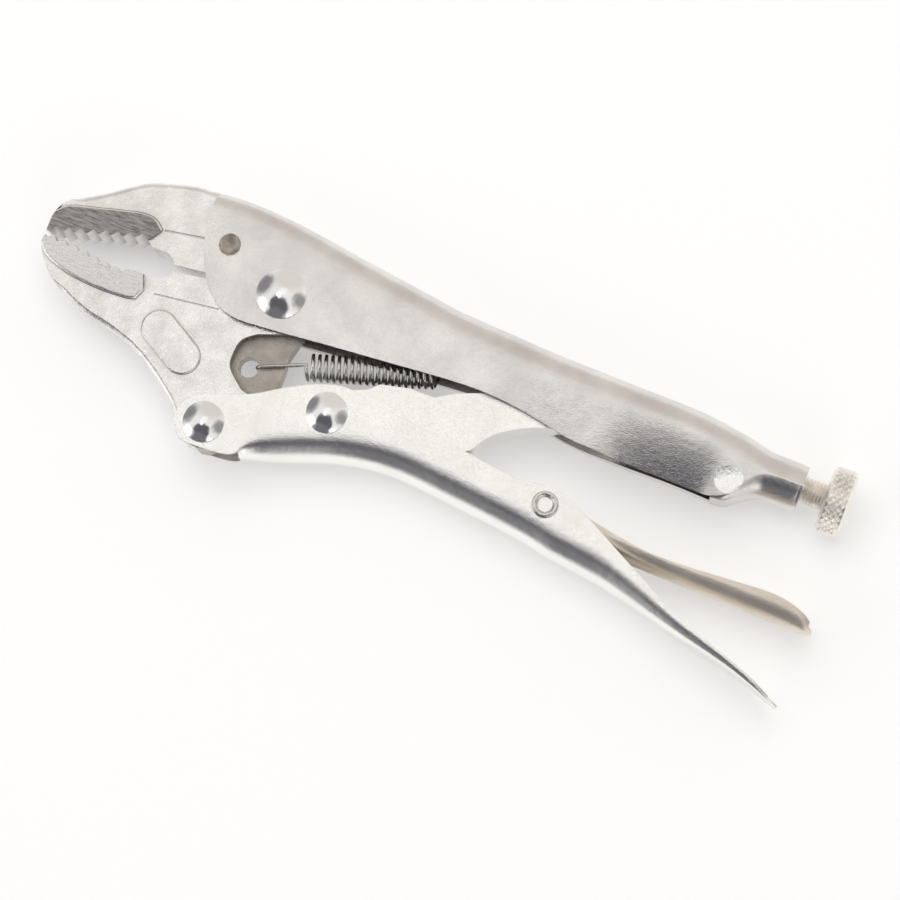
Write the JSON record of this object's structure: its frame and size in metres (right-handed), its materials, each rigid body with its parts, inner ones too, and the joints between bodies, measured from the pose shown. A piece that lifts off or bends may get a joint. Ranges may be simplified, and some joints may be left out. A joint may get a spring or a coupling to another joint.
{
  "type": "locking pliers",
  "caption": "Curved-jaw locking pliers with wire cutter: toggle-locked lower jaw, knurled adjusting screw, return spring and a release lever in the lower handle.",
  "frame": {"origin": "middle of the closed tool's outline, level with its lowest rivet head", "axes": "+X along the adjusting screw towards its knob, +Y towards the back of the upper handle, +Z along the pivot axes"},
  "size_m": [0.2475, 0.0859, 0.0216],
  "materials": {
    "plated_sheet": "nickel-plated pressed steel, satin with fine orange peel",
    "plated_forging": "nickel-plated forged steel, satin",
    "polished_rivet": "polished domed rivet heads",
    "lever_sheet": "plated sheet, darker and smooth",
    "screw_steel": "machined thread and knurl",
    "spring_wire": "dark drawn wire"
  },
  "bodies": {
    "upper_side": {"upper_handle": "plated_sheet", "upper_jaw": "plated_forging", "main_pivot_rivet": "polished_rivet", "return_spring": "spring_wire"},
    "lower_jaw": {"lower_jaw": "plated_forging"},
    "lower_handle": {"lower_handle": "plated_sheet", "jaw_rivet": "polished_rivet", "link_rivet": "polished_rivet", "lever_rivet": "plated_sheet"},
    "toggle_link": {"toggle_link": "plated_sheet"},
    "release_lever": {"release_lever": "lever_sheet"},
    "adjusting_screw": {"adjusting_screw": "screw_steel"},
    "adjusting_knob": {"adjusting_knob": "screw_steel"}
  },
  "joints": [
    {"name": "lower_jaw_hinge", "type": "hinge", "parent": "upper_side", "child": "lower_jaw", "pos_m": [-0.051, 0.0196, 0.0108], "axis": [0, 0, 1], "range_deg": [0, 21], "deforming": ["return_spring"]},
    {"name": "lower_handle_hinge", "type": "hinge", "parent": "lower_jaw", "child": "lower_handle", "pos_m": [-0.0585, -0.0229, 0.0108], "axis": [0, 0, 1], "range_deg": [-75, 0]},
    {"name": "toggle_link_hinge", "type": "hinge", "parent": "lower_handle", "child": "toggle_link", "pos_m": [-0.026, -0.0084, 0.0108], "axis": [0, 0, 1], "range_deg": [0, 81.75]},
    {"name": "release_lever_hinge", "type": "hinge", "parent": "lower_handle", "child": "release_lever", "pos_m": [0.0415, -0.0119, 0.0108], "axis": [0, 0, 1], "range_deg": [-6, 0]},
    {"name": "screw_slide", "type": "slide", "parent": "upper_side", "child": "adjusting_screw", "axis": [1, 0, 0], "range_m": [0, 0.0255]},
    {"name": "knob_turn", "type": "hinge", "parent": "adjusting_screw", "child": "adjusting_knob", "pos_m": [0.114, 0.0181, 0.0108], "axis": [1, 0, 0], "range_deg": [0, 9180]}
  ],
  "couplings": [
    {"joint": "lower_jaw_hinge", "follows": "lower_handle_hinge", "ratio": -0.28},
    {"joint": "toggle_link_hinge", "follows": "lower_handle_hinge", "ratio": -1.09},
    {"joint": "knob_turn", "follows": "screw_slide", "rad_per_m": 6283.2}
  ]
}
